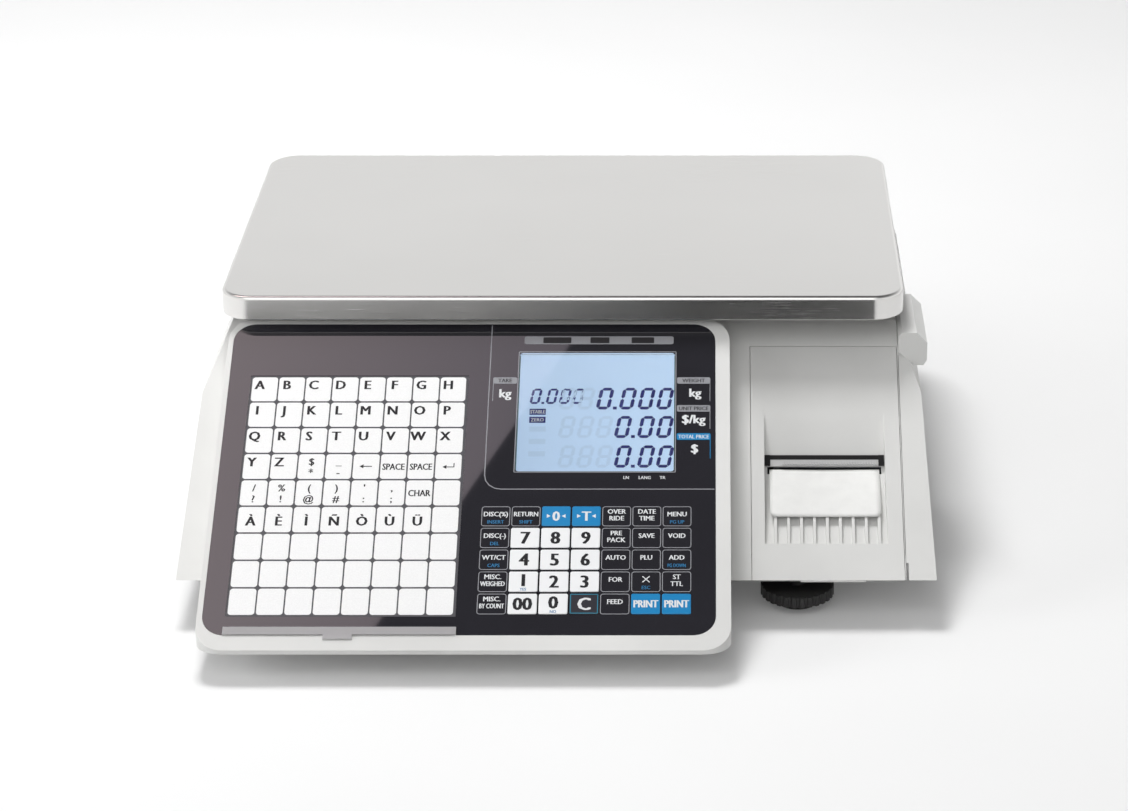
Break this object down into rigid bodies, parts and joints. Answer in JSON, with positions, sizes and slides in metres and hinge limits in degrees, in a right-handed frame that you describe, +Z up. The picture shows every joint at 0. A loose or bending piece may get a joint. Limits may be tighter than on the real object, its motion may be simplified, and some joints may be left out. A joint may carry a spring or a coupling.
{
  "type": "retail price scale",
  "caption": "Bench price-computing scale with a flat steel weighing platter, sloping keyboard and display console, and a built-in label printer behind a side door.",
  "frame": {"origin": "on the table, under the middle of the bounding box", "axes": "+X to the operator's right, +Y away from the operator, +Z up"},
  "size_m": [0.408, 0.4348, 0.142],
  "materials": {
    "casing": "fine satin moulding",
    "tray_plastic": "black moulding",
    "platter_steel": "satin stainless sheet",
    "cast_alloy": "as cast",
    "bright_steel": "zinc plated",
    "printer_black": "black engineering plastic",
    "head_alloy": "anodised",
    "roller_rubber": "ground rubber",
    "lever_green": "moulded lever",
    "pad_rubber": "soft rubber",
    "overlay_film": "glossy printed film",
    "key_sheet": "printed sheet under film",
    "clear_plastic": "clear",
    "display_glass": "clear window",
    "lcd_panel": "lit liquid crystal panel",
    "circuit_board": "solder mask",
    "label_paper": "coated label paper",
    "foot_plastic": "black knurled wheel",
    "foot_rubber": "rubber",
    "key_white": "printed key cap",
    "key_blue": "printed key cap",
    "key_dark": "printed key cap"
  },
  "bodies": {
    "chassis": {"base_tray": "tray_plastic", "console_bezel": "casing", "customer_lcd": "lcd_panel", "customer_window": "display_glass", "display_window": "display_glass", "feed_motor": "bright_steel", "issued_label": "label_paper", "key_board": "circuit_board", "keypad_overlay": "overlay_film", "level_vial": "clear_plastic", "load_cell": "cast_alloy", "main_board": "circuit_board", "operator_lcd": "lcd_panel", "peel_bar": "bright_steel", "power_inlet": "tray_plastic", "power_supply": "circuit_board", "preset_key_sheet": "key_sheet", "printer_frame": "printer_black", "printer_front": "casing", "sheet_cover": "clear_plastic", "underside_screws": "bright_steel", "upper_housing": "casing"},
    "weigh_platform": {"platter_spider": "cast_alloy", "spider_screws": "bright_steel", "support_pads": "pad_rubber"},
    "platter": {"platter": "platter_steel"},
    "side_door": {"side_door": "casing"},
    "door_latch": {"door_latch": "casing"},
    "power_rocker": {"power_rocker": "tray_plastic"},
    "print_head": {"print_head": "head_alloy"},
    "head_lever": {"head_lever": "lever_green"},
    "platen": {"platen_roller": "roller_rubber"},
    "idler": {"idler_gear": "printer_black"},
    "motor_pinion": {"motor_pinion": "bright_steel"},
    "label_roll": {"label_roll": "label_paper"},
    "take_up_spool": {"take_up_spool": "printer_black"},
    "key_0": {"key_0": "key_white"},
    "key_00": {"key_00": "key_white"},
    "key_1": {"key_1": "key_white"},
    "key_2": {"key_2": "key_white"},
    "key_3": {"key_3": "key_white"},
    "key_4": {"key_4": "key_white"},
    "key_5": {"key_5": "key_white"},
    "key_6": {"key_6": "key_white"},
    "key_7": {"key_7": "key_white"},
    "key_8": {"key_8": "key_white"},
    "key_9": {"key_9": "key_white"},
    "key_clear": {"key_clear": "key_dark"},
    "key_print_left": {"key_print_left": "key_blue"},
    "key_print_right": {"key_print_right": "key_blue"},
    "key_tare": {"key_tare": "key_blue"},
    "key_zero": {"key_zero": "key_blue"},
    "foot_pad_front_left": {"foot_pad_front_left": "foot_rubber"},
    "foot_wheel_front_left": {"foot_wheel_front_left": "foot_plastic"},
    "foot_pad_front_right": {"foot_pad_front_right": "foot_rubber"},
    "foot_wheel_front_right": {"foot_wheel_front_right": "foot_plastic"},
    "foot_pad_rear_left": {"foot_pad_rear_left": "foot_rubber"},
    "foot_wheel_rear_left": {"foot_wheel_rear_left": "foot_plastic"},
    "foot_pad_rear_right": {"foot_pad_rear_right": "foot_rubber"},
    "foot_wheel_rear_right": {"foot_wheel_rear_right": "foot_plastic"}
  },
  "joints": [
    {"name": "weigh_travel", "type": "slide", "parent": "chassis", "child": "weigh_platform", "axis": [0, 0, 1], "range_m": [-0.0005, 0], "stiffness_N_per_m": 200000, "springref_m": 0.00015, "deforming": ["load_cell"]},
    {"name": "platter_lift", "type": "slide", "parent": "weigh_platform", "child": "platter", "axis": [0, 0, 1], "range_m": [0, 0.06]},
    {"name": "side_door_hinge", "type": "hinge", "parent": "chassis", "child": "side_door", "pos_m": [0.1965, 0, 0.0282], "axis": [0, 1, 0], "range_deg": [0, 85]},
    {"name": "door_latch_pivot", "type": "hinge", "parent": "side_door", "child": "door_latch", "pos_m": [0.1925, -0.003, 0.104], "axis": [0, -1, 0], "range_deg": [0, 12], "stiffness_Nm_per_rad": 0.05, "springref_deg": -11.46},
    {"name": "power_rocker_pivot", "type": "hinge", "parent": "chassis", "child": "power_rocker", "pos_m": [-0.137, 0.2112, 0.044], "axis": [1, 0, 0], "range_deg": [0, 16]},
    {"name": "print_head_lift", "type": "hinge", "parent": "chassis", "child": "print_head", "pos_m": [0.146, -0.036, 0.066], "axis": [-1, 0, 0], "range_deg": [0, 8]},
    {"name": "head_lever_turn", "type": "hinge", "parent": "chassis", "child": "head_lever", "pos_m": [0.185, -0.048, 0.072], "axis": [-1, 0, 0], "range_deg": [0, 60]},
    {"name": "platen_spin", "type": "hinge", "parent": "chassis", "child": "platen", "pos_m": [0.146, -0.066, 0.047], "axis": [1, 0, 0], "continuous": true},
    {"name": "idler_spin", "type": "hinge", "parent": "chassis", "child": "idler", "pos_m": [0.1095, -0.04533, 0.03948], "axis": [1, 0, 0], "continuous": true},
    {"name": "motor_pinion_spin", "type": "hinge", "parent": "chassis", "child": "motor_pinion", "pos_m": [0.1095, -0.02957, 0.0367], "axis": [1, 0, 0], "continuous": true},
    {"name": "label_roll_spin", "type": "hinge", "parent": "chassis", "child": "label_roll", "pos_m": [0.146, 0.015, 0.075], "axis": [1, 0, 0], "continuous": true},
    {"name": "take_up_spool_spin", "type": "hinge", "parent": "chassis", "child": "take_up_spool", "pos_m": [0.146, -0.036, 0.038], "axis": [1, 0, 0], "continuous": true},
    {"name": "foot_front_left_height", "type": "slide", "parent": "chassis", "child": "foot_pad_front_left", "axis": [0, 0, 1], "range_m": [-0.0037, 0.0037]},
    {"name": "foot_front_left_turn", "type": "hinge", "parent": "foot_pad_front_left", "child": "foot_wheel_front_left", "pos_m": [-0.13, -0.125, 0.008], "axis": [0, 0, 1], "range_deg": [-1080, 1080]},
    {"name": "foot_front_right_height", "type": "slide", "parent": "chassis", "child": "foot_pad_front_right", "axis": [0, 0, 1], "range_m": [-0.0037, 0.0037]},
    {"name": "foot_front_right_turn", "type": "hinge", "parent": "foot_pad_front_right", "child": "foot_wheel_front_right", "pos_m": [0.13, -0.125, 0.008], "axis": [0, 0, 1], "range_deg": [-1080, 1080]},
    {"name": "foot_rear_left_height", "type": "slide", "parent": "chassis", "child": "foot_pad_rear_left", "axis": [0, 0, 1], "range_m": [-0.0037, 0.0037]},
    {"name": "foot_rear_left_turn", "type": "hinge", "parent": "foot_pad_rear_left", "child": "foot_wheel_rear_left", "pos_m": [-0.13, 0.17, 0.008], "axis": [0, 0, 1], "range_deg": [-1080, 1080]},
    {"name": "foot_rear_right_height", "type": "slide", "parent": "chassis", "child": "foot_pad_rear_right", "axis": [0, 0, 1], "range_m": [-0.0037, 0.0037]},
    {"name": "foot_rear_right_turn", "type": "hinge", "parent": "foot_pad_rear_right", "child": "foot_wheel_rear_right", "pos_m": [0.13, 0.17, 0.008], "axis": [0, 0, 1], "range_deg": [-1080, 1080]},
    {"name": "key_0_press", "type": "slide", "parent": "chassis", "child": "key_0", "axis": [0, 0.4924, -0.8704], "range_m": [0, 0.0004], "stiffness_N_per_m": 400, "springref_m": -0.0008},
    {"name": "key_00_press", "type": "slide", "parent": "chassis", "child": "key_00", "axis": [0, 0.4924, -0.8704], "range_m": [0, 0.0004], "stiffness_N_per_m": 400, "springref_m": -0.0008},
    {"name": "key_1_press", "type": "slide", "parent": "chassis", "child": "key_1", "axis": [0, 0.4924, -0.8704], "range_m": [0, 0.0004], "stiffness_N_per_m": 400, "springref_m": -0.0008},
    {"name": "key_2_press", "type": "slide", "parent": "chassis", "child": "key_2", "axis": [0, 0.4924, -0.8704], "range_m": [0, 0.0004], "stiffness_N_per_m": 400, "springref_m": -0.0008},
    {"name": "key_3_press", "type": "slide", "parent": "chassis", "child": "key_3", "axis": [0, 0.4924, -0.8704], "range_m": [0, 0.0004], "stiffness_N_per_m": 400, "springref_m": -0.0008},
    {"name": "key_4_press", "type": "slide", "parent": "chassis", "child": "key_4", "axis": [0, 0.4924, -0.8704], "range_m": [0, 0.0004], "stiffness_N_per_m": 400, "springref_m": -0.0008},
    {"name": "key_5_press", "type": "slide", "parent": "chassis", "child": "key_5", "axis": [0, 0.4924, -0.8704], "range_m": [0, 0.0004], "stiffness_N_per_m": 400, "springref_m": -0.0008},
    {"name": "key_6_press", "type": "slide", "parent": "chassis", "child": "key_6", "axis": [0, 0.4924, -0.8704], "range_m": [0, 0.0004], "stiffness_N_per_m": 400, "springref_m": -0.0008},
    {"name": "key_7_press", "type": "slide", "parent": "chassis", "child": "key_7", "axis": [0, 0.4924, -0.8704], "range_m": [0, 0.0004], "stiffness_N_per_m": 400, "springref_m": -0.0008},
    {"name": "key_8_press", "type": "slide", "parent": "chassis", "child": "key_8", "axis": [0, 0.4924, -0.8704], "range_m": [0, 0.0004], "stiffness_N_per_m": 400, "springref_m": -0.0008},
    {"name": "key_9_press", "type": "slide", "parent": "chassis", "child": "key_9", "axis": [0, 0.4924, -0.8704], "range_m": [0, 0.0004], "stiffness_N_per_m": 400, "springref_m": -0.0008},
    {"name": "key_clear_press", "type": "slide", "parent": "chassis", "child": "key_clear", "axis": [0, 0.4924, -0.8704], "range_m": [0, 0.0004], "stiffness_N_per_m": 400, "springref_m": -0.0008},
    {"name": "key_print_left_press", "type": "slide", "parent": "chassis", "child": "key_print_left", "axis": [0, 0.4924, -0.8704], "range_m": [0, 0.0004], "stiffness_N_per_m": 400, "springref_m": -0.0008},
    {"name": "key_print_right_press", "type": "slide", "parent": "chassis", "child": "key_print_right", "axis": [0, 0.4924, -0.8704], "range_m": [0, 0.0004], "stiffness_N_per_m": 400, "springref_m": -0.0008},
    {"name": "key_tare_press", "type": "slide", "parent": "chassis", "child": "key_tare", "axis": [0, 0.4924, -0.8704], "range_m": [0, 0.0004], "stiffness_N_per_m": 400, "springref_m": -0.0008},
    {"name": "key_zero_press", "type": "slide", "parent": "chassis", "child": "key_zero", "axis": [0, 0.4924, -0.8704], "range_m": [0, 0.0004], "stiffness_N_per_m": 400, "springref_m": -0.0008}
  ],
  "couplings": [
    {"joint": "idler_spin", "follows": "platen_spin", "ratio": -1.2},
    {"joint": "motor_pinion_spin", "follows": "platen_spin", "ratio": 2},
    {"joint": "head_lever_turn", "follows": "print_head_lift", "ratio": 7.5},
    {"joint": "foot_front_left_turn", "follows": "foot_front_left_height", "rad_per_m": 5026.5},
    {"joint": "foot_front_right_turn", "follows": "foot_front_right_height", "rad_per_m": 5026.5},
    {"joint": "foot_rear_left_turn", "follows": "foot_rear_left_height", "rad_per_m": 5026.5},
    {"joint": "foot_rear_right_turn", "follows": "foot_rear_right_height", "rad_per_m": 5026.5}
  ]
}
